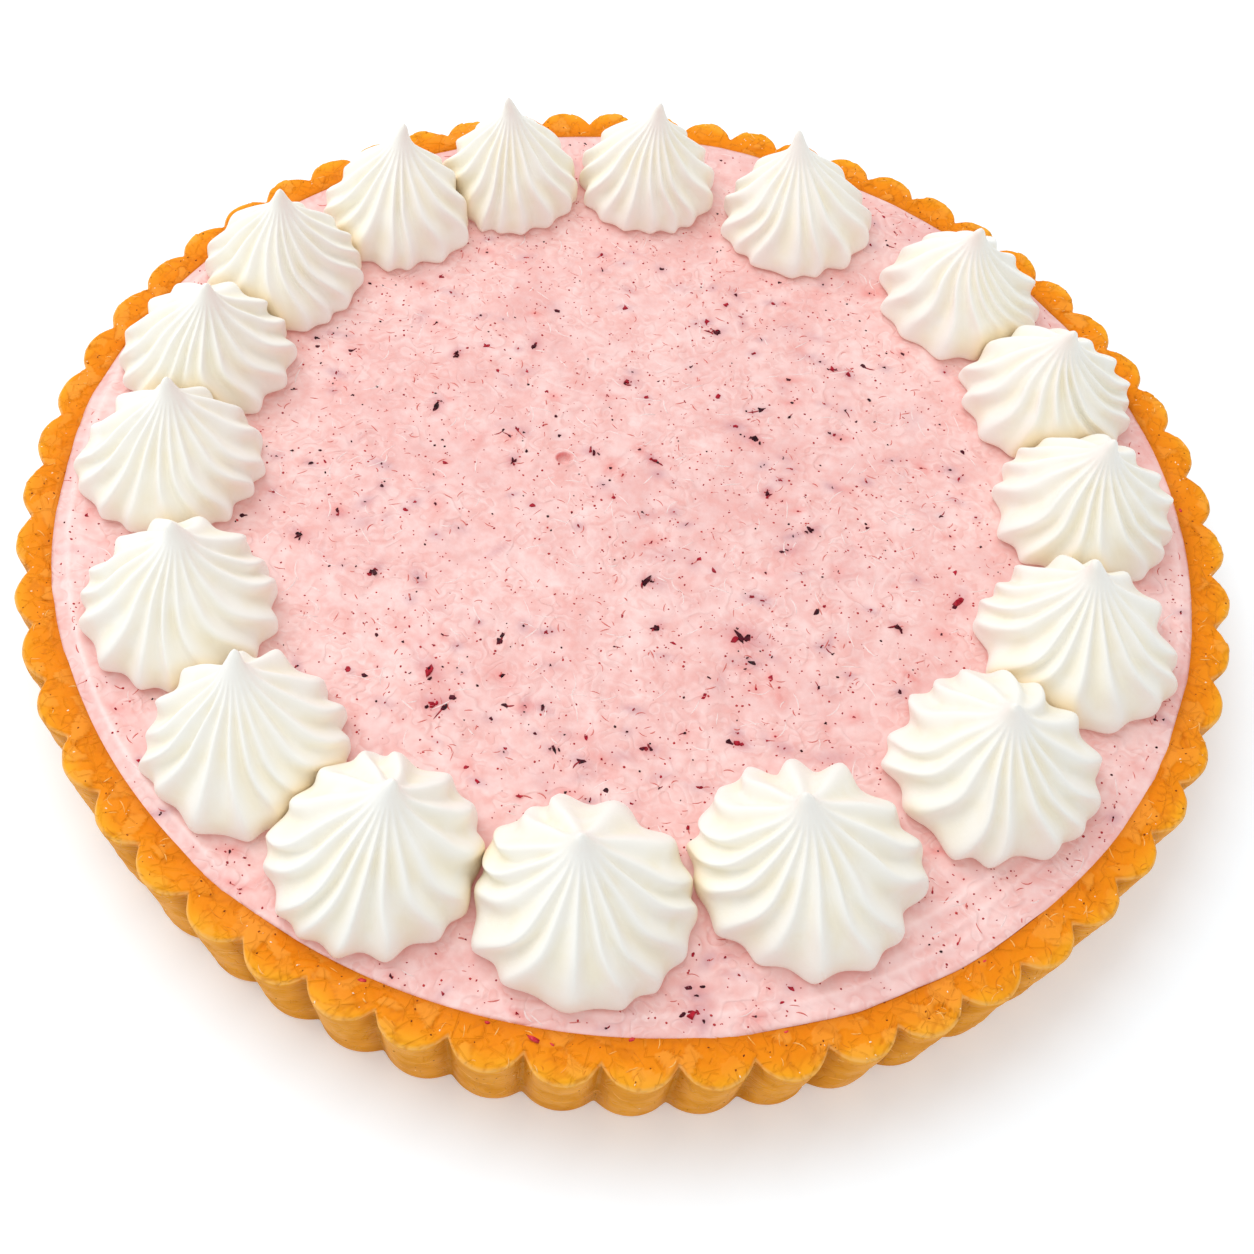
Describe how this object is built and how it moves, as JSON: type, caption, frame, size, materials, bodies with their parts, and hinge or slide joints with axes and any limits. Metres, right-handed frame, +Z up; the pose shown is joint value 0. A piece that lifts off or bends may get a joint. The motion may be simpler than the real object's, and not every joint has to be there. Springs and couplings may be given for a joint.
{
  "type": "strawberry cream tart",
  "caption": "Round fluted short-crust tart filled level with pink strawberry cream and edged with a ring of star-piped white cream kisses, resting on its flat underside.",
  "frame": {"origin": "middle of the flat underside of the crust", "axes": "+Z up out of the tart, -Y towards the front and +X to the right as pictured"},
  "size_m": [0.2749, 0.2785, 0.056],
  "materials": {
    "crust": "baked short-crust pastry, golden orange, matte with a faint buttery sheen",
    "filling": "pale pink strawberry cream, moist satin, dotted with dark and red fruit",
    "cream": "whipped cream, warm white, soft satin"
  },
  "bodies": {
    "root": {"crust": "crust", "filling": "filling", "cream_kiss_01": "cream", "cream_kiss_02": "cream", "cream_kiss_03": "cream", "cream_kiss_04": "cream", "cream_kiss_05": "cream", "cream_kiss_06": "cream", "cream_kiss_07": "cream", "cream_kiss_08": "cream", "cream_kiss_09": "cream", "cream_kiss_10": "cream", "cream_kiss_11": "cream", "cream_kiss_12": "cream", "cream_kiss_13": "cream", "cream_kiss_14": "cream", "cream_kiss_15": "cream", "cream_kiss_16": "cream", "cream_kiss_17": "cream"}
  },
  "joints": []
}
